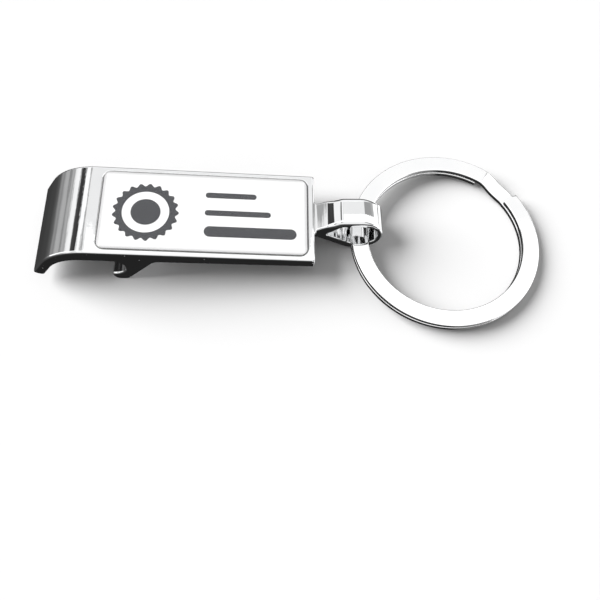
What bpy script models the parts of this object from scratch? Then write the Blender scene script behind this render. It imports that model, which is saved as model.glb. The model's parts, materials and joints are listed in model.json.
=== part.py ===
"""Keychain bottle opener: a chrome-plated zinc casting with a domed label, and a split ring in its eye.

Metres, +Z up. The opener lies label side up on the plane z = 0, on its cap lug and its eye, with the
ring lying beside it. The claw points to -X and the ring to +X. The origin is the centre of the
footprint. The casting and its label are drawn in the plate's own frame (u along the plate towards the
ring, v across it, w out of its label face, origin at the ring end of the label face), and an empty
lays that frame down at its resting tilt.
"""

import bpy
import bmesh
from math import acos, asin, atan2, ceil, cos, hypot, pi, radians, sin, tan

MM = 0.001

# Casting: plate, claw and lug, in the plate's frame
BODY_WIDTH = 16.0 * MM
BODY_REACH = 45.9 * MM  # ring end of the plate to the claw's tip
END_THICKNESS = 2.1 * MM
LUG_SIDE_THICKNESS = 2.6 * MM
CLAW_ROOT_THICKNESS = 2.8 * MM
CLAW_ANGLE = radians(59)
CLAW_OUTER_RADIUS = 9.3 * MM
CLAW_INNER_RADIUS = 6.6 * MM
TIP_DEPTH = 7.9 * MM  # label face down to the outer corner of the claw's tip
TIP_THICKNESS = 1.75 * MM
TIP_ROUNDING = 0.6 * MM
MOUTH_BACK = -30.5 * MM  # deepest line of the hook that the cap's skirt sits in
MOUTH_FLOOR = -7.1 * MM
MOUTH_RADIUS = 2.1 * MM
HOOK_NOSE = (-33.2 * MM, -7.4 * MM)
HOOK_NOSE_ROUNDING = 0.45 * MM
LUG_DEPTH = 9.2 * MM
LUG_FOOT_FRONT = -32.5 * MM
LUG_FOOT_BACK = -30.6 * MM
LUG_BACK_ROOT = -25.7 * MM
END_ROUNDING = 0.4 * MM
EDGE_ROUNDING = 0.3 * MM

# Eye that the split ring runs in: circles (u, w, radius) that its outlines are drawn round
EYE_WIDTH = 5.0 * MM
NECK_ROOT = (-0.8 * MM, -0.95 * MM, 0.45 * MM)
EYE_END = (7.3 * MM, -1.3 * MM, 4.15 * MM)
EYE_SHOULDER = (4.9 * MM, 0.65 * MM, 2.0 * MM)
HOLE_TIP = (2.6 * MM, -1.2 * MM, 0.4 * MM)
HOLE_END = (7.8 * MM, -1.3 * MM, 2.85 * MM)
HOLE_SHOULDER = (4.9 * MM, 0.25 * MM, 1.1 * MM)
EYE_EDGE_ROUNDING = 0.45 * MM

# Label pocket and the layers in it
POCKET_LENGTH = 33.5 * MM
POCKET_END = -1.1 * MM
POCKET_WIDTH = 14.3 * MM
POCKET_CORNER = 1.4 * MM
POCKET_DEPTH = 0.5 * MM
LABEL_SIDE_GAP = 0.15 * MM
LAYER_GAP = 0.1 * MM
ADHESIVE_THICKNESS = 0.15 * MM
FILM_THICKNESS = 0.15 * MM
DOME_THICKNESS = 0.7 * MM
DOME_ROUNDING = 0.4 * MM

# Split ring: two turns of flat wire that change level at one joggle
RING_RADIUS = 16.0 * MM
WIRE_WIDTH = 2.75 * MM
WIRE_THICKNESS = 0.85 * MM
WIRE_CHAMFER = 0.12 * MM
TURN_GAP = 0.12 * MM
JOGGLE_START = radians(43)
JOGGLE_END = radians(66)
JOGGLE_CUT_IN = 0.3 * MM
TURN_END_GAP = radians(2)
WIRE_STEP = radians(5)
RING_SKEW = radians(-8)  # the ring lies turned this far about its upright in the eye
RING_DROP = 1.05 * MM  # middle of the wire below the middle of the hole

# Worked out from the sizes above
HALF_WIDTH = BODY_WIDTH / 2
WIRE_RADIUS = RING_RADIUS - WIRE_WIDTH / 2
RING_THICKNESS = 2 * WIRE_THICKNESS + TURN_GAP
LUG_FOOT = (LUG_FOOT_FRONT + LUG_FOOT_BACK) / 2


def resting_tilt():
    """Angle that puts the lug's foot and the eye's round end on one plane."""
    end_u, end_w, end_radius = EYE_END
    span = end_u - LUG_FOOT
    rise = LUG_DEPTH + end_w
    return acos(end_radius / hypot(rise, span)) - atan2(span, rise)


PLATE_TILT = resting_tilt()
PLATE_HEIGHT = LUG_DEPTH * cos(PLATE_TILT) + LUG_FOOT * sin(PLATE_TILT)
HINGE_RUN = HOLE_END[0] * cos(PLATE_TILT) + HOLE_END[1] * sin(PLATE_TILT)
HINGE_HEIGHT = PLATE_HEIGHT - HOLE_END[0] * sin(PLATE_TILT) + HOLE_END[1] * cos(PLATE_TILT)
RING_TILT = asin((HINGE_HEIGHT - RING_DROP - RING_THICKNESS / 2) / (WIRE_RADIUS + RING_RADIUS))
CLAW_RUN = BODY_REACH * cos(PLATE_TILT) + TIP_DEPTH * sin(PLATE_TILT)
RING_RUN = HINGE_RUN + WIRE_RADIUS * cos(RING_SKEW) + RING_RADIUS
PLATE_X = (CLAW_RUN - RING_RUN) / 2
PLATE_Y = -WIRE_RADIUS * sin(RING_SKEW)

MATERIALS = {
    "chrome": ((0.82, 0.83, 0.84, 1.0), 0.06, 1.0),
    "ring_steel": ((0.78, 0.79, 0.80, 1.0), 0.10, 1.0),
    "adhesive": ((0.86, 0.86, 0.83, 1.0), 0.55, 0.0),
    "label_white": ((0.93, 0.93, 0.93, 1.0), 0.35, 0.0),
    "clear_resin": ((0.96, 0.97, 0.98, 1.0), 0.05, 0.0),
}


def clear_scene():
    for old in list(bpy.data.objects):
        bpy.data.objects.remove(old, do_unlink=True)


def material(name):
    colour, roughness, metallic = MATERIALS[name]
    made = bpy.data.materials.new(name)
    made.use_nodes = True
    shader = made.node_tree.nodes["Principled BSDF"]
    shader.inputs["Base Color"].default_value = colour
    shader.inputs["Roughness"].default_value = roughness
    shader.inputs["Metallic"].default_value = metallic
    return made


def add_object(name, mesh, parent, made_of):
    piece = bpy.data.objects.new(name, mesh)
    bpy.context.scene.collection.objects.link(piece)
    piece.parent = parent
    mesh.materials.append(made_of)
    mesh.shade_smooth()
    mesh.set_sharp_from_angle(angle=radians(32))
    return piece


def add_empty(name, location, parent=None):
    empty = bpy.data.objects.new(name, None)
    bpy.context.scene.collection.objects.link(empty)
    empty.location = location
    empty.parent = parent
    return empty


def make_cutter(piece):
    piece.hide_render = True
    piece.display_type = "WIRE"


def add_bevel(piece, width, segments=2):
    bevel = piece.modifiers.new("edge_rounding", "BEVEL")
    bevel.width = width
    bevel.segments = segments
    bevel.limit_method = "ANGLE"
    bevel.angle_limit = radians(50)


def add_boolean(piece, other, operation):
    boolean = piece.modifiers.new(other.name, "BOOLEAN")
    boolean.object = other
    boolean.operation = operation
    boolean.solver = "EXACT"


def rounded_outline(corners, arc_step=radians(12)):
    """Closed outline through (u, w, radius) corners, with an arc in place of each one."""
    outline = []
    for i, (u, w, radius) in enumerate(corners):
        before, after = corners[i - 1], corners[(i + 1) % len(corners)]
        back = (before[0] - u, before[1] - w)
        on = (after[0] - u, after[1] - w)
        back_length, on_length = hypot(*back), hypot(*on)
        back = (back[0] / back_length, back[1] / back_length)
        on = (on[0] / on_length, on[1] / on_length)
        inside = acos(max(-1.0, min(1.0, back[0] * on[0] + back[1] * on[1])))
        reach = radius / tan(inside / 2)
        middle_length = hypot(back[0] + on[0], back[1] + on[1])
        to_centre = radius / sin(inside / 2) / middle_length
        centre = (u + (back[0] + on[0]) * to_centre, w + (back[1] + on[1]) * to_centre)
        start = atan2(w + back[1] * reach - centre[1], u + back[0] * reach - centre[0])
        end = atan2(w + on[1] * reach - centre[1], u + on[0] * reach - centre[0])
        sweep = (end - start + pi) % (2 * pi) - pi
        steps = max(1, ceil(abs(sweep) / arc_step))
        for k in range(steps + 1):
            angle = start + sweep * k / steps
            outline.append((centre[0] + radius * cos(angle), centre[1] + radius * sin(angle)))
    return outline


def outline_round(circles, arc_step=radians(12)):
    """Outline drawn tight round (u, w, radius) circles, which are given counterclockwise."""
    normals = []
    for (u, w, radius), (next_u, next_w, next_radius) in zip(circles, circles[1:] + circles[:1]):
        apart = hypot(next_u - u, next_w - w)
        normals.append(atan2(next_w - w, next_u - u) - acos((radius - next_radius) / apart))
    outline = []
    for i, (u, w, radius) in enumerate(circles):
        sweep = (normals[i] - normals[i - 1]) % (2 * pi)
        steps = ceil(sweep / arc_step)
        for k in range(steps + 1):
            angle = normals[i - 1] + sweep * k / steps
            outline.append((u + radius * cos(angle), w + radius * sin(angle)))
    return outline


def prism_across(name, outline, width):
    """Prism along v, centred on v = 0, from an outline in (u, w)."""
    shape = bmesh.new()
    face = shape.faces.new([shape.verts.new((u, -width / 2, w)) for u, w in outline])
    moved = bmesh.ops.extrude_face_region(shape, geom=[face])["geom"]
    new_verts = [part for part in moved if isinstance(part, bmesh.types.BMVert)]
    bmesh.ops.translate(shape, verts=new_verts, vec=(0, width, 0))
    bmesh.ops.recalc_face_normals(shape, faces=shape.faces)
    mesh = bpy.data.meshes.new(name)
    shape.to_mesh(mesh)
    shape.free()
    return mesh


def label_slab(name, margin, bottom, thickness):
    """Round-cornered slab lying in the label pocket, this far inside its walls."""
    half = POCKET_WIDTH / 2 - margin
    low, high = POCKET_END - POCKET_LENGTH + margin, POCKET_END - margin
    corner = POCKET_CORNER - margin
    corners = [(low, -half, corner), (high, -half, corner), (high, half, corner), (low, half, corner)]
    shape = bmesh.new()
    ring = [shape.verts.new((u, v, bottom)) for u, v in rounded_outline(corners, radians(15))]
    moved = bmesh.ops.extrude_face_region(shape, geom=[shape.faces.new(ring)])["geom"]
    new_verts = [part for part in moved if isinstance(part, bmesh.types.BMVert)]
    bmesh.ops.translate(shape, verts=new_verts, vec=(0, 0, thickness))
    bmesh.ops.recalc_face_normals(shape, faces=shape.faces)
    mesh = bpy.data.meshes.new(name)
    shape.to_mesh(mesh)
    shape.free()
    return mesh


def casting_corners():
    """Side view of the plate, claw and lug, as corners with their rounding radii."""
    lip_u, lip_w = -cos(CLAW_ANGLE), -sin(CLAW_ANGLE)
    tip_outer = (-BODY_REACH, -TIP_DEPTH)
    tip_inner = (tip_outer[0] - lip_w * TIP_THICKNESS, tip_outer[1] + lip_u * TIP_THICKNESS)
    bend_outer = tip_outer[0] - lip_u / lip_w * tip_outer[1]
    bend_inner = tip_inner[0] + lip_u / lip_w * (-CLAW_ROOT_THICKNESS - tip_inner[1])
    return [
        (0, 0, END_ROUNDING),
        (bend_outer, 0, CLAW_OUTER_RADIUS),
        (*tip_outer, TIP_ROUNDING),
        (*tip_inner, TIP_ROUNDING),
        (bend_inner, -CLAW_ROOT_THICKNESS, CLAW_INNER_RADIUS),
        (MOUTH_BACK, -CLAW_ROOT_THICKNESS, MOUTH_RADIUS),
        (MOUTH_BACK, MOUTH_FLOOR, MOUTH_RADIUS),
        (*HOOK_NOSE, HOOK_NOSE_ROUNDING),
        (LUG_FOOT_FRONT, -LUG_DEPTH, 0.7 * MM),
        (LUG_FOOT_BACK, -LUG_DEPTH, 1.2 * MM),
        (LUG_BACK_ROOT, -LUG_SIDE_THICKNESS, 1.8 * MM),
        (0, -END_THICKNESS, END_ROUNDING),
    ]


def eye_shape(plate_frame, chrome):
    """The eye and its neck, which the casting is joined to, with the hole's edges rounded off."""
    outline = outline_round([NECK_ROOT, EYE_END, EYE_SHOULDER])
    eye = add_object("eye_shape", prism_across("eye_shape", outline, EYE_WIDTH), plate_frame, chrome)
    make_cutter(eye)
    hole_outline = outline_round([HOLE_TIP, HOLE_END, HOLE_SHOULDER])
    hole_mesh = prism_across("eye_hole", hole_outline, 2 * EYE_WIDTH)
    hole = add_object("eye_hole", hole_mesh, plate_frame, chrome)
    make_cutter(hole)
    add_boolean(eye, hole, "DIFFERENCE")
    add_bevel(eye, EYE_EDGE_ROUNDING)
    return eye


def opener_body(plate_frame, chrome):
    outline = rounded_outline(casting_corners())
    body = add_object("opener_body", prism_across("opener_body", outline, BODY_WIDTH), plate_frame, chrome)
    add_bevel(body, EDGE_ROUNDING)
    add_boolean(body, eye_shape(plate_frame, chrome), "UNION")
    pocket_mesh = label_slab("label_pocket", 0, -POCKET_DEPTH, 2 * POCKET_DEPTH)
    pocket = add_object("label_pocket", pocket_mesh, plate_frame, chrome)
    make_cutter(pocket)
    add_boolean(body, pocket, "DIFFERENCE")
    return body


def label_layers(plate_frame):
    bottom = -POCKET_DEPTH + LAYER_GAP
    for name, thickness, made_of in (
        ("label_adhesive", ADHESIVE_THICKNESS, "adhesive"),
        ("label_film", FILM_THICKNESS, "label_white"),
        ("label_dome", DOME_THICKNESS, "clear_resin"),
    ):
        mesh = label_slab(name, LABEL_SIDE_GAP, bottom, thickness)
        layer = add_object(name, mesh, plate_frame, material(made_of))
        bottom += thickness + LAYER_GAP
    round_top_edge(layer)


def round_top_edge(dome):
    """Round the dome's upper rim, and leave its lower one square."""
    shape = bmesh.new()
    shape.from_mesh(dome.data)
    top = max(vert.co.z for vert in shape.verts)
    rim = [edge for edge in shape.edges if min(vert.co.z for vert in edge.verts) > top - LAYER_GAP]
    bmesh.ops.bevel(shape, geom=rim, offset=DOME_ROUNDING, segments=3, profile=0.5, affect="EDGES")
    shape.to_mesh(dome.data)
    shape.free()


def wire_centre(angle):
    """Middle of the wire at this angle along its two turns, in the ring's plane and above it."""
    level = (WIRE_THICKNESS + TURN_GAP) / 2
    share = (angle - 2 * pi - JOGGLE_START) / (JOGGLE_END - JOGGLE_START)
    share = max(0.0, min(1.0, share))
    rise = share * share * (3 - 2 * share)
    cut_in = JOGGLE_CUT_IN * sin(pi * share) ** 2
    radius = WIRE_RADIUS - cut_in
    return radius, level * (2 * rise - 1)


def wire_section():
    """Flat wire with its corners cut off, as (outwards, up) pairs."""
    across, up = WIRE_WIDTH / 2, WIRE_THICKNESS / 2
    cut = WIRE_CHAMFER
    return [
        (across, up - cut), (across - cut, up), (cut - across, up), (-across, up - cut),
        (-across, cut - up), (cut - across, -up), (across - cut, -up), (across, cut - up),
    ]


def split_ring(ring_hinge, steel):
    """Two turns of flat wire, swept from the lower turn's end to the upper one's."""
    first = JOGGLE_END + TURN_END_GAP
    last = JOGGLE_START - TURN_END_GAP + 4 * pi
    steps = ceil((last - first) / WIRE_STEP)
    shape = bmesh.new()
    rings = []
    for k in range(steps + 1):
        angle = first + (last - first) * k / steps
        radius, height = wire_centre(angle)
        rings.append([
            shape.verts.new((
                WIRE_RADIUS + (radius + out) * cos(angle),
                (radius + out) * sin(angle),
                height + up - RING_DROP,
            ))
            for out, up in wire_section()
        ])
    for ring, after in zip(rings, rings[1:]):
        for i in range(len(ring)):
            j = (i + 1) % len(ring)
            shape.faces.new((ring[i], ring[j], after[j], after[i]))
    shape.faces.new(rings[0])
    shape.faces.new(rings[-1])
    bmesh.ops.recalc_face_normals(shape, faces=shape.faces)
    mesh = bpy.data.meshes.new("split_ring")
    shape.to_mesh(mesh)
    shape.free()
    ring_piece = add_object("split_ring", mesh, ring_hinge, steel)
    ring_piece.rotation_euler = (0, 0, RING_SKEW)
    return ring_piece


def main():
    clear_scene()
    plate_frame = add_empty("plate_frame", (PLATE_X, PLATE_Y, PLATE_HEIGHT))
    plate_frame.rotation_euler = (0, PLATE_TILT, 0)
    opener_body(plate_frame, material("chrome"))
    label_layers(plate_frame)
    ring_hinge = add_empty("ring_hinge", (PLATE_X + HINGE_RUN, PLATE_Y, HINGE_HEIGHT))
    ring_hinge.rotation_euler = (0, RING_TILT, 0)
    split_ring(ring_hinge, material("ring_steel"))


main()
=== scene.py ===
"""Looks of the keychain bottle opener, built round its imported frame.

The casting, the label's dome and print, and the split ring are modelled finely at the sizes of their
CAD nodes. Metres. The casting and its label are drawn in the plate's frame: u along the plate towards
the ring, v across it, w out of its label face, origin at the ring end of the label face.
"""

import json
from math import acos, asin, atan2, ceil, cos, hypot, pi, radians, sin, sqrt, tan

import bmesh
import bpy
from mathutils import Matrix, Vector


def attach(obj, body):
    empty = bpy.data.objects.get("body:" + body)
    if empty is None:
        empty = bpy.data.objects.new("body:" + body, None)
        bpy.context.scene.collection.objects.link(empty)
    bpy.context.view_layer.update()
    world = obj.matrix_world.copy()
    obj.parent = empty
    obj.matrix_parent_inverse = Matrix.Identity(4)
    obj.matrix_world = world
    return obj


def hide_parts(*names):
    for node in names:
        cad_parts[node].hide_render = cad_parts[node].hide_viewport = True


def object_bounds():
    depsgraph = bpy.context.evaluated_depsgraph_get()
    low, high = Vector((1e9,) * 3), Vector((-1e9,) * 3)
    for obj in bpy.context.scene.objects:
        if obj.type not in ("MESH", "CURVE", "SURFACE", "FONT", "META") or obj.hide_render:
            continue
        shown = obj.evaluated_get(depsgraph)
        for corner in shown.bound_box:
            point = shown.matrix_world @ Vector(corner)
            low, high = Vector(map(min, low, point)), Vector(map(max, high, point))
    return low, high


MM = 0.001

# Casting: plate, claw and lug, in the plate's frame
BODY_WIDTH = 16.0 * MM
BODY_REACH = 45.9 * MM
END_THICKNESS = 2.1 * MM
LUG_SIDE_THICKNESS = 2.6 * MM
CLAW_ROOT_THICKNESS = 2.8 * MM
CLAW_ANGLE = radians(59)
CLAW_OUTER_RADIUS = 9.3 * MM
CLAW_INNER_RADIUS = 6.6 * MM
TIP_DEPTH = 7.9 * MM
TIP_THICKNESS = 1.75 * MM
TIP_ROUNDING = 0.6 * MM
MOUTH_BACK = -30.5 * MM
MOUTH_FLOOR = -7.1 * MM
MOUTH_RADIUS = 2.1 * MM
HOOK_NOSE = (-33.2 * MM, -7.4 * MM)
HOOK_NOSE_ROUNDING = 0.45 * MM
LUG_DEPTH = 9.2 * MM
LUG_FOOT_FRONT = -32.5 * MM
LUG_FOOT_BACK = -30.6 * MM
LUG_BACK_ROOT = -25.7 * MM
LUG_FOOT_FRONT_ROUNDING = 0.7 * MM
LUG_FOOT_BACK_ROUNDING = 1.2 * MM
LUG_BACK_ROUNDING = 1.8 * MM
END_ROUNDING = 0.4 * MM
LABEL_SIDE_ROUNDING = 0.42 * MM
UNDERSIDE_ROUNDING = 0.16 * MM
ROUNDING_TURN = (-0.2, 0.5)  # how far the surface faces up where the one turns into the other

# Eye, as circles (u, w, radius) that its outlines are drawn round
EYE_WIDTH = 5.0 * MM
NECK_ROOT = (-0.8 * MM, -0.95 * MM, 0.45 * MM)
EYE_END = (7.3 * MM, -1.3 * MM, 4.15 * MM)
EYE_SHOULDER = (4.9 * MM, 0.65 * MM, 2.0 * MM)
HOLE_TIP = (2.6 * MM, -1.2 * MM, 0.4 * MM)
HOLE_END = (7.8 * MM, -1.3 * MM, 2.85 * MM)
HOLE_SHOULDER = (4.9 * MM, 0.25 * MM, 1.1 * MM)
HOLE_RIM_ROUNDING = 0.28 * MM
EYE_SIDE_ROUNDING = 0.33 * MM
EYE_TOP_ROUNDING = 0.8 * MM
EYE_ROUNDING_RISE = (0.8 * MM, 2.2 * MM)  # heights between which the one turns into the other
ROOT_FILLET = 0.6 * MM
NECK_WAVE = (  # (u, rise)
    (-1.0 * MM, -0.12 * MM), (1.95 * MM, 0.11 * MM), (2.95 * MM, 0.0), (3.75 * MM, 0.0),
)
NECK_STEP = 0.1 * MM

# Label pocket and the layers in it
POCKET_LENGTH = 33.5 * MM
POCKET_END = -1.1 * MM
POCKET_WIDTH = 14.3 * MM
POCKET_CORNER = 1.4 * MM
POCKET_DEPTH = 0.5 * MM
POCKET_FILLET = 0.12 * MM
POCKET_LIP = 0.22 * MM
DOME_SIDE_GAP = 0.04 * MM
DOME_BOTTOM = 0.1 * MM
DOME_TOP = 0.8 * MM
DOME_WALL = 0.12 * MM
DOME_SHOULDER = 0.96 * MM

# Film, resin and adhesive
# painted shade: the film's colour at its edge, greyer where shade falls under the resin's edge
FILM_EDGE_PAINTED_SHADE = (0.42, 0.42, 0.425, 1)
FILM_WHITE = (0.76, 0.76, 0.76, 1)
FILM_SHADE = 0.7 * MM  # how far in from its edge the painted shade fades out and the film turns white
FILM_GRAIN = 0.4 * MM
FILM_ROUGHNESS = (0.3, 0.4)
FILM_RELIEF = 0.0005 * MM
RESIN_WAVE_SIZE = 4 * MM
RESIN_WAVE = 0.004 * MM
RESIN_SMUDGE_SIZE = 6 * MM
RESIN_ROUGHNESS = (0.01, 0.04)
RESIN_MIRROR = (0.035, 0.4)  # share of light mirrored when seen straight on, and along the surface
RESIN_MIRROR_POWER = 5.0  # how late the mirroring sets in towards a view along the surface
GLUE_DARK = (0.80, 0.80, 0.76, 1)
GLUE_LIGHT = (0.88, 0.88, 0.85, 1)
GLUE_GRAIN = 0.6 * MM
GLUE_ROUGHNESS = (0.5, 0.7)
GLUE_RELIEF = 0.01 * MM

# Print on the film
INK_DARK = (0.022, 0.023, 0.027, 1)
INK_LIGHT = (0.027, 0.028, 0.033, 1)
INK_SPECULAR = 0.15
INK_GRAIN = 0.2 * MM
INK_ROUGHNESS = (0.4, 0.5)
INK_RELIEF = 0.0005 * MM
INK_BOTTOM = 0.005 * MM
INK_TOP = 0.03 * MM
CAP_CENTRE = (-27.3 * MM, -0.3 * MM)
CAP_RADIUS = 5.0 * MM
CAP_FLUTES = 21
CAP_FLUTE_DEPTH = 0.26 * MM
POINTS_PER_FLUTE = 12
CAP_BAND = 1.25 * MM
CAP_DISC_RADIUS = 2.35 * MM
BARS = (  # start, end, middle line, height
    (-17.9 * MM, -9.6 * MM, 3.3 * MM, 1.0 * MM),
    (-17.9 * MM, -7.2 * MM, 0.0 * MM, 1.0 * MM),
    (-17.9 * MM, -3.0 * MM, -3.4 * MM, 1.9 * MM),
)
BAR_CORNER = 0.49  # share of a bar's height

# Split ring
RING_RADIUS = 16.0 * MM
WIRE_WIDTH = 2.75 * MM
WIRE_THICKNESS = 0.85 * MM
WIRE_ROUNDING = 0.2 * MM
TURN_GAP = 0.12 * MM
JOGGLE_START = radians(43)
JOGGLE_END = radians(66)
JOGGLE_CUT_IN = 0.3 * MM
TURN_END_GAP = radians(2)
WIRE_STEP = radians(1.5)
RING_SKEW = radians(-8)
RING_DROP = 1.05 * MM

# Mesh
ARC_STEP = radians(4)
WIRE_SECTION_STEP = radians(15)
SHARP_ANGLE = radians(38)
DOME_SHARP_ANGLE = radians(60)
OVERCUT = 0.1 * MM
FLARE_END = radians(75)
DOME_ARC_STEPS = 10

# Plating
WAVE_SIZE = 3.2 * MM
RIPPLE_SIZE = 0.8 * MM
STREAK_SIZE = 0.7 * MM
STREAK_STRETCH = (1.0, 0.06, 1.0)  # the streaks run across the opener
SMUDGE_SIZE = 5.0 * MM

# Casting pits on the sides of the casting
PIT_SPACING = 0.9 * MM
PIT_REACH = 0.16  # share of the spacing
PIT_DEPTH = 0.12 * MM
PIT_ROUGHNESS = 0.6
PIT_PATCH = 2.1 * MM
PIT_PATCH_LEVEL = 0.52
PITTED_BEYOND = 7.85 * MM  # this far from the casting's middle line

# Camera and stage
CAMERA_ELEVATION = radians(67.64)
CAMERA_AZIMUTH = radians(0.4)
CAMERA_DISTANCE = 103.34 * MM
CAMERA_AIM_BACK = 10.12 * MM  # aim on the floor, this far from the hinge towards the claw
CAMERA_AIM_NEAR = 10.13 * MM
CAMERA_LENS = 37.3
SENSOR_WIDTH = 36.0
CAMERA_CLIP = (1 * MM, 20.0)
FLOOR_REACH = 6.0


# ---- Frame -------------------------------------------------------------------------------------


def resting_tilt():
    """Angle that puts the lug's foot and the eye's round end on one plane."""
    end_u, end_w, end_radius = EYE_END
    span = end_u - (LUG_FOOT_FRONT + LUG_FOOT_BACK) / 2
    rise = LUG_DEPTH + end_w
    return acos(end_radius / hypot(rise, span)) - atan2(span, rise)


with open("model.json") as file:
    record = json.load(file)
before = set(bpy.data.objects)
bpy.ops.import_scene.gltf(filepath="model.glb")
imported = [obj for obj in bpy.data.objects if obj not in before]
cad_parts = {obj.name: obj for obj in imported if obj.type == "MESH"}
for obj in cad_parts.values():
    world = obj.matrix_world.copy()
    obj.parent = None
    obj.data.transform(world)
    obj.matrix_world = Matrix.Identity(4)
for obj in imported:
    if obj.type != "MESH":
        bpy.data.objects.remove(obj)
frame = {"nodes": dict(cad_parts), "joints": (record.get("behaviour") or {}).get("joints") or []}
cad_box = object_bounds()
hinge = Vector(frame["joints"][0]["pos_m"])
PLATE_TURN = Matrix.Rotation(resting_tilt(), 4, "Y")
PLATE_ORIGIN = hinge - PLATE_TURN @ Vector((HOLE_END[0], 0, HOLE_END[1]))
PLATE_FRAME = Matrix.Translation(PLATE_ORIGIN) @ PLATE_TURN
WIRE_RADIUS = RING_RADIUS - WIRE_WIDTH / 2
RING_THICKNESS = 2 * WIRE_THICKNESS + TURN_GAP
RING_TILT = asin((hinge.z - RING_DROP - RING_THICKNESS / 2) / (WIRE_RADIUS + RING_RADIUS))
RING_FRAME = (
    Matrix.Translation(hinge) @ Matrix.Rotation(RING_TILT, 4, "Y") @ Matrix.Rotation(RING_SKEW, 4, "Z")
)


# ---- Materials ---------------------------------------------------------------------------------


class Nodes:
    """A material's node tree, with short calls for adding to it."""

    def __init__(self, tree):
        self.tree = tree

    def add(self, kind, settings=None, **inputs):
        node = self.tree.nodes.new("ShaderNode" + kind)
        for key, value in (settings or {}).items():
            setattr(node, key, value)
        for key, value in inputs.items():
            self.set(node.inputs[key.replace("_", " ")], value)
        return node

    def set(self, socket, value):
        if isinstance(value, bpy.types.NodeSocket):
            self.tree.links.new(value, socket)
        else:
            socket.default_value = value

    def math(self, operation, first, second=0.0):
        node = self.add("Math", {"operation": operation})
        self.set(node.inputs[0], first)
        self.set(node.inputs[1], second)
        return node.outputs[0]

    def noise(self, size, detail=2.0, vector=None):
        """Noise in 0..1 whose features are about this large, in metres."""
        where = vector or self.add("TexCoord").outputs["Object"]
        return self.add("TexNoise", Vector=where, Scale=1 / size, Detail=detail).outputs[0]

    def remap(self, value, low, high, to_low, to_high):
        node = self.add(
            "MapRange", Value=value, From_Min=low, From_Max=high, To_Min=to_low, To_Max=to_high
        )
        return node.outputs["Result"]

    def blend(self, share, first, second):
        node = self.add("Mix", {"data_type": "RGBA"})
        self.set(node.inputs["Factor"], share)
        self.set(node.inputs[6], first)  # the colour sockets have the same names as the number ones
        self.set(node.inputs[7], second)
        return node.outputs[2]

    def bump(self, height, distance, under=None):
        node = self.add("Bump", Height=height, Distance=distance, Strength=1.0)
        if under:
            self.set(node.inputs["Normal"], under)
        return node.outputs["Normal"]


def new_material(name):
    made = bpy.data.materials.new(name)
    made.use_nodes = True
    return made, Nodes(made.node_tree), made.node_tree.nodes["Principled BSDF"]


def chrome(name, dark, light, wave, ripple, streaks, roughness, pitted_beyond=None):
    """Bright plating: waves, ripples and streaks from hand polishing, smudges, and casting pits."""
    made, nodes, shader = new_material(name)
    where = nodes.add("TexCoord").outputs["Object"]
    normal = nodes.bump(nodes.noise(WAVE_SIZE, 1.0), wave)
    normal = nodes.bump(nodes.noise(RIPPLE_SIZE, 3.0), ripple, normal)
    stretched = nodes.add("VectorMath", {"operation": "MULTIPLY"}, Vector=where)
    stretched.inputs[1].default_value = STREAK_STRETCH
    normal = nodes.bump(nodes.noise(STREAK_SIZE, 2.0, stretched.outputs[0]), streaks, normal)
    if pitted_beyond:
        side = nodes.math("SUBTRACT", nodes.add("SeparateXYZ", Vector=where).outputs["Y"], hinge.y)
        side = nodes.math("ABSOLUTE", side)
        side = nodes.math("GREATER_THAN", side, pitted_beyond)
        cells = nodes.add("TexVoronoi", Vector=where, Scale=1 / PIT_SPACING).outputs["Distance"]
        pits = nodes.remap(cells, 0.0, PIT_REACH, 1.0, 0.0)
        chosen = nodes.math("GREATER_THAN", nodes.noise(PIT_PATCH, 0.0), PIT_PATCH_LEVEL)
        pits = nodes.math("MULTIPLY", nodes.math("MULTIPLY", pits, side), chosen)
        normal = nodes.bump(pits, -PIT_DEPTH, normal)
    nodes.set(shader.inputs["Normal"], normal)
    smudge = nodes.noise(SMUDGE_SIZE, 3.0)
    nodes.set(shader.inputs["Base Color"], nodes.blend(nodes.remap(smudge, 0.3, 0.7, 0, 1), dark, light))
    rough = nodes.remap(smudge, 0.35, 0.75, *roughness)
    if pitted_beyond:
        rough = nodes.math("MAXIMUM", rough, nodes.math("MULTIPLY", pits, PIT_ROUGHNESS))
    nodes.set(shader.inputs["Roughness"], rough)
    shader.inputs["Metallic"].default_value = 1.0
    return made


def plain_plastic(name, dark, light, grain, roughness, height):
    """Ink or adhesive: a matt surface with a fine grain."""
    made, nodes, shader = new_material(name)
    speckle = nodes.noise(grain, 3.0)
    share = nodes.remap(speckle, 0.3, 0.7, 0, 1)
    nodes.set(shader.inputs["Base Color"], nodes.blend(share, dark, light))
    nodes.set(shader.inputs["Roughness"], nodes.remap(speckle, 0.3, 0.7, *roughness))
    nodes.set(shader.inputs["Normal"], nodes.bump(speckle, height))
    return made


def film_material(name):
    """White film with shade painted in: it turns greyer towards its edge, under the resin's edge."""
    made, nodes, shader = new_material(name)
    generated = nodes.add("SeparateXYZ", Vector=nodes.add("TexCoord").outputs["Generated"])
    speckle = nodes.noise(FILM_GRAIN, 3.0)
    inwards = POCKET_WIDTH
    for axis, length in (("X", POCKET_LENGTH), ("Y", POCKET_WIDTH)):
        off_middle = nodes.math("ABSOLUTE", nodes.math("SUBTRACT", generated.outputs[axis], 0.5))
        to_edge = nodes.math("MULTIPLY", nodes.math("SUBTRACT", 0.5, off_middle), length)
        inwards = nodes.math("MINIMUM", inwards, to_edge)
    # painted shade: the film's colour greys towards its edge
    share = nodes.remap(inwards, 0.0, FILM_SHADE, 0.0, 1.0)
    shade = nodes.blend(share, FILM_EDGE_PAINTED_SHADE, FILM_WHITE)
    nodes.set(shader.inputs["Base Color"], shade)
    nodes.set(shader.inputs["Roughness"], nodes.remap(speckle, 0.3, 0.7, *FILM_ROUGHNESS))
    nodes.set(shader.inputs["Normal"], nodes.bump(speckle, FILM_RELIEF))
    return made


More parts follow.
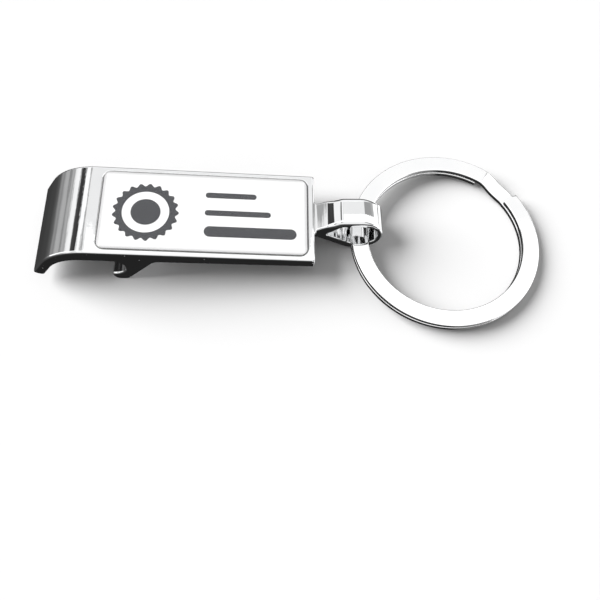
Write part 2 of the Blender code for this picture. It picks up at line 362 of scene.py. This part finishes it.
def resin(name):
    """Clear cast resin: it lets light straight through, and mirrors the studio a little."""
    made, nodes, shader = new_material(name)
    normal = nodes.bump(nodes.noise(RESIN_WAVE_SIZE, 1.0), RESIN_WAVE)
    smudge = nodes.noise(RESIN_SMUDGE_SIZE, 2.0)
    nodes.set(shader.inputs["Roughness"], nodes.remap(smudge, 0.3, 0.7, *RESIN_ROUGHNESS))
    nodes.set(shader.inputs["Normal"], normal)
    shader.inputs["Base Color"].default_value = (1, 1, 1, 1)
    shader.inputs["Metallic"].default_value = 1.0
    through = nodes.add("BsdfTransparent", Color=(1, 1, 1, 1))
    mixed = nodes.add("MixShader")
    facing = nodes.add("LayerWeight", Blend=0.5, Normal=normal).outputs["Facing"]
    along = nodes.math("POWER", facing, RESIN_MIRROR_POWER)
    nodes.set(mixed.inputs[0], nodes.remap(along, 0.0, 1.0, *RESIN_MIRROR))
    nodes.set(mixed.inputs[1], through.outputs[0])
    nodes.set(mixed.inputs[2], shader.outputs[0])
    nodes.set(made.node_tree.nodes["Material Output"].inputs["Surface"], mixed.outputs[0])
    return made


# ---- Shapes ------------------------------------------------------------------------------------


def rounded_outline(corners, arc_step=ARC_STEP):
    """Closed counterclockwise outline through (u, w, radius) corners, as (u, w, normal u, normal w)."""
    outline = []
    for i, (u, w, radius) in enumerate(corners):
        before, after = corners[i - 1], corners[(i + 1) % len(corners)]
        back = Vector((before[0] - u, before[1] - w)).normalized()
        on = Vector((after[0] - u, after[1] - w)).normalized()
        inside = acos(max(-1.0, min(1.0, back.dot(on))))
        reach = radius / tan(inside / 2)
        centre = Vector((u, w)) + (back + on).normalized() * (radius / sin(inside / 2))
        first = Vector((u, w)) + back * reach - centre
        last = Vector((u, w)) + on * reach - centre
        start = atan2(first.y, first.x)
        sweep = (atan2(last.y, last.x) - start + pi) % (2 * pi) - pi
        side = 1 if sweep > 0 else -1
        steps = max(1, ceil(abs(sweep) / arc_step))
        for k in range(steps + 1):
            turn = start + sweep * k / steps
            point = centre + radius * Vector((cos(turn), sin(turn)))
            outline.append((point.x, point.y, side * cos(turn), side * sin(turn)))
    return outline


def outline_round(circles):
    """Outline drawn tight round (u, w, radius) circles, which are given counterclockwise."""
    normals = []
    for (u, w, radius), (next_u, next_w, next_radius) in zip(circles, circles[1:] + circles[:1]):
        apart = hypot(next_u - u, next_w - w)
        normals.append(atan2(next_w - w, next_u - u) - acos((radius - next_radius) / apart))
    outline = []
    for i, (u, w, radius) in enumerate(circles):
        sweep = (normals[i] - normals[i - 1]) % (2 * pi)
        steps = ceil(sweep / ARC_STEP)
        for k in range(steps + 1):
            turn = normals[i - 1] + sweep * k / steps
            outline.append((u + radius * cos(turn), w + radius * sin(turn), cos(turn), sin(turn)))
    return outline


def subdivided(outline, longest):
    """The same outline with its straight stretches split into short ones."""
    split = []
    for point, after in zip(outline, outline[1:] + outline[:1]):
        parts = max(1, ceil(hypot(after[0] - point[0], after[1] - point[1]) / longest))
        for k in range(parts):
            split.append(tuple(a + (b - a) * k / parts for a, b in zip(point, after)))
    return split


def inset(outline, depth):
    """The outline moved inwards by depth, or outwards where it is negative."""
    return [(u - normal_u * depth, w - normal_w * depth) for u, w, normal_u, normal_w in outline]


def loft(name, rings, closed=False):
    """Mesh through rings of equal length, capped at both ends or closed on itself."""
    shape = bmesh.new()
    rows = [[shape.verts.new(point) for point in ring] for ring in rings]
    pairs = list(zip(rows, rows[1:]))
    if closed:
        pairs.append((rows[-1], rows[0]))
    else:
        shape.faces.new(rows[0])
        shape.faces.new(rows[-1])
    for row, after in pairs:
        for i in range(len(row)):
            j = (i + 1) % len(row)
            shape.faces.new((row[i], row[j], after[j], after[i]))
    bmesh.ops.recalc_face_normals(shape, faces=shape.faces)
    mesh = bpy.data.meshes.new(name)
    shape.to_mesh(mesh)
    shape.free()
    return mesh


def add_piece(name, mesh, place, made_of):
    mesh.transform(place)
    piece = bpy.data.objects.new(name, mesh)
    bpy.context.scene.collection.objects.link(piece)
    mesh.materials.append(made_of)
    mesh.shade_smooth()
    return piece


def settle(piece, sharp=SHARP_ANGLE):
    """Bake the piece's modifiers, then shade it smooth with its flat faces kept flat."""
    for step in (0, 1):
        evaluated = piece.evaluated_get(bpy.context.evaluated_depsgraph_get())
        mesh = bpy.data.meshes.new_from_object(evaluated)
        piece.modifiers.clear()
        piece.data = mesh
        if step == 0:
            mesh.shade_smooth()
            mesh.set_sharp_from_angle(angle=sharp)
            weighted = piece.modifiers.new("flat_faces", "WEIGHTED_NORMAL")
            weighted.keep_sharp = True
    return piece


def combine(piece, other, operation):
    """Join other to the piece or cut it out, and remove it."""
    boolean = piece.modifiers.new(operation.lower(), "BOOLEAN")
    boolean.object = other
    boolean.operation = operation
    boolean.solver = "EXACT"
    evaluated = piece.evaluated_get(bpy.context.evaluated_depsgraph_get())
    mesh = bpy.data.meshes.new_from_object(evaluated)
    piece.modifiers.clear()
    piece.data = mesh
    bpy.data.objects.remove(other)


def quarter_turns(segments=6):
    return [pi / 2 * k / segments for k in range(segments + 1)]


def smooth_share(value, low, high):
    share = max(0.0, min(1.0, (value - low) / (high - low)))
    return share * share * (3 - 2 * share)


def rounded_prism(name, outline, width, rounding):
    """Prism across v whose edges are rounded by rounding(w, normal w)."""
    rings = []
    for side, turns in ((-1, reversed(quarter_turns())), (1, quarter_turns())):
        for turn in turns:
            ring = []
            for u, w, normal_u, normal_w in outline:
                radius = rounding(w, normal_w)
                depth = radius * (1 - cos(turn))
                v = side * (width / 2 - radius * (1 - sin(turn)))
                ring.append((u - normal_u * depth, v, w - normal_w * depth))
            rings.append(ring)
    return loft(name, rings)


def flared_sections(half, rounding):
    """(distance from the middle, growth) of a cutter that leaves a rounded rim at half."""
    sections = []
    for turn in quarter_turns():
        if turn < FLARE_END:
            sections.append((half - rounding * (1 - sin(turn)), rounding * (1 - cos(turn))))
    end = (half - rounding * (1 - sin(FLARE_END)), rounding * (1 - cos(FLARE_END)))
    return sections + [end, (end[0] + OVERCUT, end[1] + OVERCUT * tan(FLARE_END))]


# ---- Casting -----------------------------------------------------------------------------------


def casting_corners():
    """Side view of the plate, claw and lug, as corners with their rounding radii."""
    lip_u, lip_w = -cos(CLAW_ANGLE), -sin(CLAW_ANGLE)
    tip_outer = (-BODY_REACH, -TIP_DEPTH)
    tip_inner = (tip_outer[0] - lip_w * TIP_THICKNESS, tip_outer[1] + lip_u * TIP_THICKNESS)
    bend_outer = tip_outer[0] - lip_u / lip_w * tip_outer[1]
    bend_inner = tip_inner[0] + lip_u / lip_w * (-CLAW_ROOT_THICKNESS - tip_inner[1])
    return [
        (0, 0, END_ROUNDING),
        (bend_outer, 0, CLAW_OUTER_RADIUS),
        (*tip_outer, TIP_ROUNDING),
        (*tip_inner, TIP_ROUNDING),
        (bend_inner, -CLAW_ROOT_THICKNESS, CLAW_INNER_RADIUS),
        (MOUTH_BACK, -CLAW_ROOT_THICKNESS, MOUTH_RADIUS),
        (MOUTH_BACK, MOUTH_FLOOR, MOUTH_RADIUS),
        (*HOOK_NOSE, HOOK_NOSE_ROUNDING),
        (LUG_FOOT_FRONT, -LUG_DEPTH, LUG_FOOT_FRONT_ROUNDING),
        (LUG_FOOT_BACK, -LUG_DEPTH, LUG_FOOT_BACK_ROUNDING),
        (LUG_BACK_ROOT, -LUG_SIDE_THICKNESS, LUG_BACK_ROUNDING),
        (0, -END_THICKNESS, END_ROUNDING),
    ]


def casting_rounding(_w, normal_w):
    outside = smooth_share(normal_w, *ROUNDING_TURN)
    return UNDERSIDE_ROUNDING + (LABEL_SIDE_ROUNDING - UNDERSIDE_ROUNDING) * outside


def eye_rounding(w, _normal_w):
    top = smooth_share(w, *EYE_ROUNDING_RISE)
    return EYE_SIDE_ROUNDING + (EYE_TOP_ROUNDING - EYE_SIDE_ROUNDING) * top


def neck_wave(u):
    """Rise of the neck's hand-polished upper face above its straight line."""
    for (low, low_rise), (high, high_rise) in zip(NECK_WAVE, NECK_WAVE[1:]):
        if low <= u <= high:
            return low_rise + (high_rise - low_rise) * (u - low) / (high - low)
    return 0.0


def eye(made_of):
    """The eye with its neck flared into the plate's end, and its hole."""
    outline = subdivided(outline_round([NECK_ROOT, EYE_END, EYE_SHOULDER]), NECK_STEP)
    outline = [(u, w + (neck_wave(u) if w > NECK_ROOT[1] else 0), *normal) for u, w, *normal in outline]
    mesh = rounded_prism("eye", outline, EYE_WIDTH, eye_rounding)
    for vert in mesh.vertices:
        short = max(0.0, min(ROOT_FILLET, ROOT_FILLET - vert.co.x))
        vert.co.y *= 1 + (ROOT_FILLET - sqrt(ROOT_FILLET**2 - short**2)) / (EYE_WIDTH / 2)
    piece = add_piece("eye", mesh, PLATE_FRAME, made_of)
    outline = outline_round([HOLE_TIP, HOLE_END, HOLE_SHOULDER])
    sections = flared_sections(EYE_WIDTH / 2, HOLE_RIM_ROUNDING)
    rings = [
        [(u, side * v, w) for u, w in inset(outline, -growth)]
        for side, half in ((-1, reversed(sections)), (1, sections))
        for v, growth in half
    ]
    hole = add_piece("hole", loft("hole", rings), PLATE_FRAME, made_of)
    combine(piece, hole, "DIFFERENCE")
    return piece


def label_outline(margin):
    """Outline of the label pocket, drawn in by a margin, in (u, v)."""
    half = POCKET_WIDTH / 2 - margin
    low, high = POCKET_END - POCKET_LENGTH + margin, POCKET_END - margin
    corner = POCKET_CORNER - margin
    places = [(low, -half), (high, -half), (high, half), (low, half)]
    return rounded_outline([(*place, corner) for place in places])


def label_pocket(made_of):
    """Cutter for the pocket: a fillet round its floor, and a rounded lip."""
    outline = label_outline(0)
    floor = [(-POCKET_DEPTH + POCKET_FILLET * (1 - sin(turn)), POCKET_FILLET * (1 - cos(turn)))
             for turn in reversed(quarter_turns())]
    lip = [(w, -growth) for w, growth in flared_sections(0.0, POCKET_LIP)]
    rings = [[(u, v, w) for u, v in inset(outline, depth)] for w, depth in floor + lip]
    return add_piece("pocket", loft("pocket", rings), PLATE_FRAME, made_of)


def casting(made_of):
    outline = rounded_outline(casting_corners())
    mesh = rounded_prism("casting", outline, BODY_WIDTH, casting_rounding)
    piece = add_piece("casting", mesh, PLATE_FRAME, made_of)
    combine(piece, eye(made_of), "UNION")
    combine(piece, label_pocket(made_of), "DIFFERENCE")
    return settle(piece)


# ---- Label -------------------------------------------------------------------------------------


def dome(made_of):
    """Clear resin: a low wall, a round shoulder and a flat crown."""
    outline = label_outline(DOME_SIDE_GAP)
    levels = [(DOME_BOTTOM, 0.0)]
    for turn in quarter_turns(DOME_ARC_STEPS):
        rise = DOME_TOP - DOME_BOTTOM - DOME_WALL
        levels.append((DOME_BOTTOM + DOME_WALL + rise * sin(turn), DOME_SHOULDER * (1 - cos(turn))))
    rings = [[(u, v, w) for u, v in inset(outline, depth)] for w, depth in levels]
    return settle(add_piece("dome", loft("dome", rings), PLATE_FRAME, made_of), DOME_SHARP_ANGLE)


def slab(name, outline, made_of):
    """Thin layer of ink with this outline in (u, v)."""
    rings = [[(u, v, w) for u, v in outline] for w in (INK_BOTTOM, INK_TOP)]
    piece = add_piece(name, loft(name, rings), PLATE_FRAME, made_of)
    piece.data.set_sharp_from_angle(angle=SHARP_ANGLE)
    return piece


def circle(radius, fluting=0.0):
    """Circle about the cap's centre, its radius going in and out with the flutes."""
    centre_u, centre_v = CAP_CENTRE
    points = CAP_FLUTES * POINTS_PER_FLUTE
    turns = [2 * pi * k / points for k in range(points)]
    radii = [radius + fluting * cos(CAP_FLUTES * turn) for turn in turns]
    return [(centre_u + r * cos(turn), centre_v + r * sin(turn)) for r, turn in zip(radii, turns)]


def label_print(made_of):
    """A plain bottle cap seen from above, and three bars."""
    outer, inner = circle(CAP_RADIUS, CAP_FLUTE_DEPTH), circle(CAP_RADIUS - CAP_BAND)
    rings = [
        [(u, v, w) for u, v in edge]
        for edge, w in ((outer, INK_BOTTOM), (outer, INK_TOP), (inner, INK_TOP), (inner, INK_BOTTOM))
    ]
    band = add_piece("print_cap_band", loft("print_cap_band", rings, closed=True), PLATE_FRAME, made_of)
    band.data.set_sharp_from_angle(angle=SHARP_ANGLE)
    pieces = [band, slab("print_cap_disc", circle(CAP_DISC_RADIUS), made_of)]
    for number, (start, end, middle, height) in enumerate(BARS, 1):
        low, high, corner = middle - height / 2, middle + height / 2, BAR_CORNER * height
        places = [(start, low), (end, low), (end, high), (start, high)]
        outline = rounded_outline([(*place, corner) for place in places])
        pieces.append(slab(f"print_bar_{number}", [(u, v) for u, v, _, _ in outline], made_of))
    return pieces


# ---- Split ring --------------------------------------------------------------------------------


def wire_centre(turn):
    """Middle of the wire at this angle along its two turns: radius, and height in the ring."""
    level = (WIRE_THICKNESS + TURN_GAP) / 2
    share = (turn - 2 * pi - JOGGLE_START) / (JOGGLE_END - JOGGLE_START)
    share = max(0.0, min(1.0, share))
    rise = smooth_share(share, 0.0, 1.0)
    return WIRE_RADIUS - JOGGLE_CUT_IN * sin(pi * share) ** 2, level * (2 * rise - 1)


def split_ring(made_of):
    """Two turns of flat wire, swept from the lower turn's end to the upper one's."""
    across, up = WIRE_WIDTH / 2, WIRE_THICKNESS / 2
    corners = [(across, -up), (across, up), (-across, up), (-across, -up)]
    section = rounded_outline([(*corner, WIRE_ROUNDING) for corner in corners], WIRE_SECTION_STEP)
    first = JOGGLE_END + TURN_END_GAP
    last = JOGGLE_START - TURN_END_GAP + 4 * pi
    steps = ceil((last - first) / WIRE_STEP)
    rings = []
    for k in range(steps + 1):
        turn = first + (last - first) * k / steps
        radius, height = wire_centre(turn)
        rings.append([
            (
                WIRE_RADIUS + (radius + out) * cos(turn),
                (radius + out) * sin(turn),
                height + rise - RING_DROP,
            )
            for out, rise, _, _ in section
        ])
    return settle(add_piece("key_ring", loft("key_ring", rings), RING_FRAME, made_of))


# ---- Stage -------------------------------------------------------------------------------------

# Brightness of the studio round the object, by the angle from overhead towards the claw's side
# (degrees, negative towards the ring's side): bright sheets with dark gaps between them
STUDIO = (
    (-166, 0.012), (-160, 0.12), (-148, 0.14), (-141, 0.35), (-137, 0.95), (-110, 0.68), (-105, 0.95),
    (-82, 0.95), (-79, 0.38), (-62, 0.25), (-34, 0.24), (-32.5, 0.64), (17, 0.63), (18, 0.30),
    (20, 0.30), (21, 0.8), (29, 0.75), (31, 0.02), (40, 0.05), (43, 0.72), (52, 0.66), (55, 0.26),
    (60, 0.32), (65, 0.16), (69, 0.30), (77, 0.31), (82, 0.17), (88, 0.20), (95, 0.08), (107, 0.04),
    (130, 0.035), (140, 0.012),
)
STUDIO_STRENGTH = 1.6
FRONT_SHEET_REACH = (-0.35, 0.27)  # near and far edge of the white sheet overhead, by how far back
FRONT_SHEET_RING_REACH = 0.455  # its far edge on the ring's side
FRONT_SHEET_TURN = radians(15)  # the ring's side begins at this angle
FRONT_SHEET_LIGHT = 0.85
END_WALLS = 0.62  # beyond this far to the front or back, the walls only fade from dark to bright
END_WALL_FADE = (-0.02, 0.45, 0.03, 0.75)
SHEET_BOTTOM = 0.1  # the white sheet ends this far above the horizon

# Lamps: strength, direction, and how wide they are
KEY_LAMP = (7.2, (0.85, -0.25, -0.62), radians(44))
FILL_LAMP = (1.4, (0.05, 0.05, -1), radians(140))
FLOOR_DARK = (0.572, 0.571, 0.572, 1)
FLOOR_LIGHT = (0.578, 0.577, 0.578, 1)
FLOOR_THICKNESS = 1 * MM


def studio_world():
    world = bpy.data.worlds.new("studio")
    bpy.context.scene.world = world
    world.use_nodes = True
    tree = world.node_tree
    nodes = Nodes(tree)
    background = tree.nodes["Background"]
    axes = nodes.add("SeparateXYZ", Vector=nodes.add("TexCoord").outputs["Generated"])
    side, depth, height = axes.outputs
    lean = nodes.math("ARCTAN2", nodes.math("MULTIPLY", side, -1.0), height)
    ramp = nodes.add("ValToRGB", Fac=nodes.remap(lean, -pi, pi, 0.0, 1.0))
    stops = ramp.color_ramp.elements
    while len(stops) > 1:
        stops.remove(stops[-1])
    for number, (angle, value) in enumerate(STUDIO):
        place = (angle + 180) / 360
        stop = stops[0] if number == 0 else stops.new(place)
        stop.position = place
        stop.color = (value, value, value, 1)
    nearest, farthest = FRONT_SHEET_REACH
    to_ring = nodes.math("LESS_THAN", lean, FRONT_SHEET_TURN)
    reach = nodes.remap(to_ring, 0.0, 1.0, farthest, FRONT_SHEET_RING_REACH)
    sheet = nodes.math("GREATER_THAN", depth, nearest)
    sheet = nodes.math("MULTIPLY", sheet, nodes.math("LESS_THAN", depth, reach))
    sheet = nodes.math("MULTIPLY", sheet, nodes.math("GREATER_THAN", height, SHEET_BOTTOM))
    glow = (FRONT_SHEET_LIGHT, FRONT_SHEET_LIGHT, FRONT_SHEET_LIGHT, 1)
    around = nodes.blend(sheet, ramp.outputs["Color"], glow)
    end = nodes.math("GREATER_THAN", nodes.math("ABSOLUTE", depth), END_WALLS)
    wall = nodes.remap(height, *END_WALL_FADE)
    around = nodes.blend(end, around, nodes.blend(wall, (0, 0, 0, 1), (1, 1, 1, 1)))
    lit = nodes.add("VectorMath", {"operation": "SCALE"}, Vector=around, Scale=STUDIO_STRENGTH)
    seen = nodes.add("LightPath").outputs["Is Camera Ray"]
    nodes.set(background.inputs["Color"], nodes.blend(seen, lit.outputs[0], (1, 1, 1, 1)))
    world.cycles_visibility.diffuse = False


def lamp(name, strength, towards, width):
    light = bpy.data.lights.new(name, "SUN")
    light.energy = strength
    light.angle = width
    made = bpy.data.objects.new(name, light)
    bpy.context.scene.collection.objects.link(made)
    made.rotation_mode = "QUATERNION"
    made.rotation_quaternion = Vector(towards).to_track_quat("-Z", "Y")
    made.visible_glossy = False


def stage():
    made, nodes, shader = new_material("floor")
    grain = nodes.noise(40 * MM, 2.0)
    nodes.set(shader.inputs["Base Color"], nodes.blend(grain, FLOOR_DARK, FLOOR_LIGHT))
    shader.inputs["Roughness"].default_value = 0.9
    shader.inputs["Specular IOR Level"].default_value = 0.0
    level = cad_box[0].z
    rings = [[(x * FLOOR_REACH, y * FLOOR_REACH, z) for x, y in ((-1, -1), (1, -1), (1, 1), (-1, 1))]
             for z in (level - FLOOR_THICKNESS, level)]
    floor = add_piece("floor", loft("floor", rings), Matrix.Identity(4), made)
    floor.data.set_sharp_from_angle(angle=SHARP_ANGLE)
    floor.visible_glossy = False
    lamp("key", *KEY_LAMP)
    lamp("fill", *FILL_LAMP)


def camera():
    data = bpy.data.cameras.new("camera")
    data.lens = CAMERA_LENS
    data.sensor_width = SENSOR_WIDTH
    data.clip_start, data.clip_end = CAMERA_CLIP
    made = bpy.data.objects.new("camera", data)
    bpy.context.scene.collection.objects.link(made)
    back = Vector((
        -sin(CAMERA_AZIMUTH) * cos(CAMERA_ELEVATION),
        -cos(CAMERA_AZIMUTH) * cos(CAMERA_ELEVATION),
        sin(CAMERA_ELEVATION),
    ))
    aim = Vector((hinge.x - CAMERA_AIM_BACK, -CAMERA_AIM_NEAR, 0))
    made.location = aim + back * CAMERA_DISTANCE
    made.rotation_mode = "QUATERNION"
    made.rotation_quaternion = (-back).to_track_quat("-Z", "Y")
    bpy.context.scene.camera = made


# ---- Scene -------------------------------------------------------------------------------------


def finish_piece(piece, body, slot, *stands_for):
    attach(piece, body)
    if stands_for:
        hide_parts(*stands_for)


def dress(node, made_of):
    """Give a CAD node that stays in view its finer material."""
    for holder in frame["nodes"][node].material_slots:
        holder.material = made_of


def main():
    camera()
    studio_world()
    stage()
    plated = chrome(
        "casting_chrome", (0.80, 0.805, 0.81, 1), (0.84, 0.845, 0.85, 1),
        wave=0.008 * MM, ripple=0.004 * MM, streaks=0.014 * MM, roughness=(0.02, 0.07),
        pitted_beyond=PITTED_BEYOND,
    )
    finish_piece(casting(plated), "opener", "body_chrome", "opener_body")
    wire = chrome(
        "ring_chrome", (0.94, 0.945, 0.95, 1), (0.98, 0.98, 0.98, 1),
        wave=0.008 * MM, ripple=0.003 * MM, streaks=0.001 * MM, roughness=(0.03, 0.08),
    )
    finish_piece(split_ring(wire), "ring", "ring_chrome", "split_ring")
    finish_piece(dome(resin("resin")), "opener", "clear_resin", "label_dome")
    ink = plain_plastic("ink", INK_DARK, INK_LIGHT, INK_GRAIN, INK_ROUGHNESS, INK_RELIEF)
    ink.node_tree.nodes["Principled BSDF"].inputs["Specular IOR Level"].default_value = INK_SPECULAR
    for piece in label_print(ink):
        finish_piece(piece, "opener", "label_white")
    dress("label_film", film_material("film"))
    glue = plain_plastic("glue", GLUE_DARK, GLUE_LIGHT, GLUE_GRAIN, GLUE_ROUGHNESS, GLUE_RELIEF)
    dress("label_adhesive", glue)
    bpy.context.scene.view_settings.view_transform = "Standard"


main()
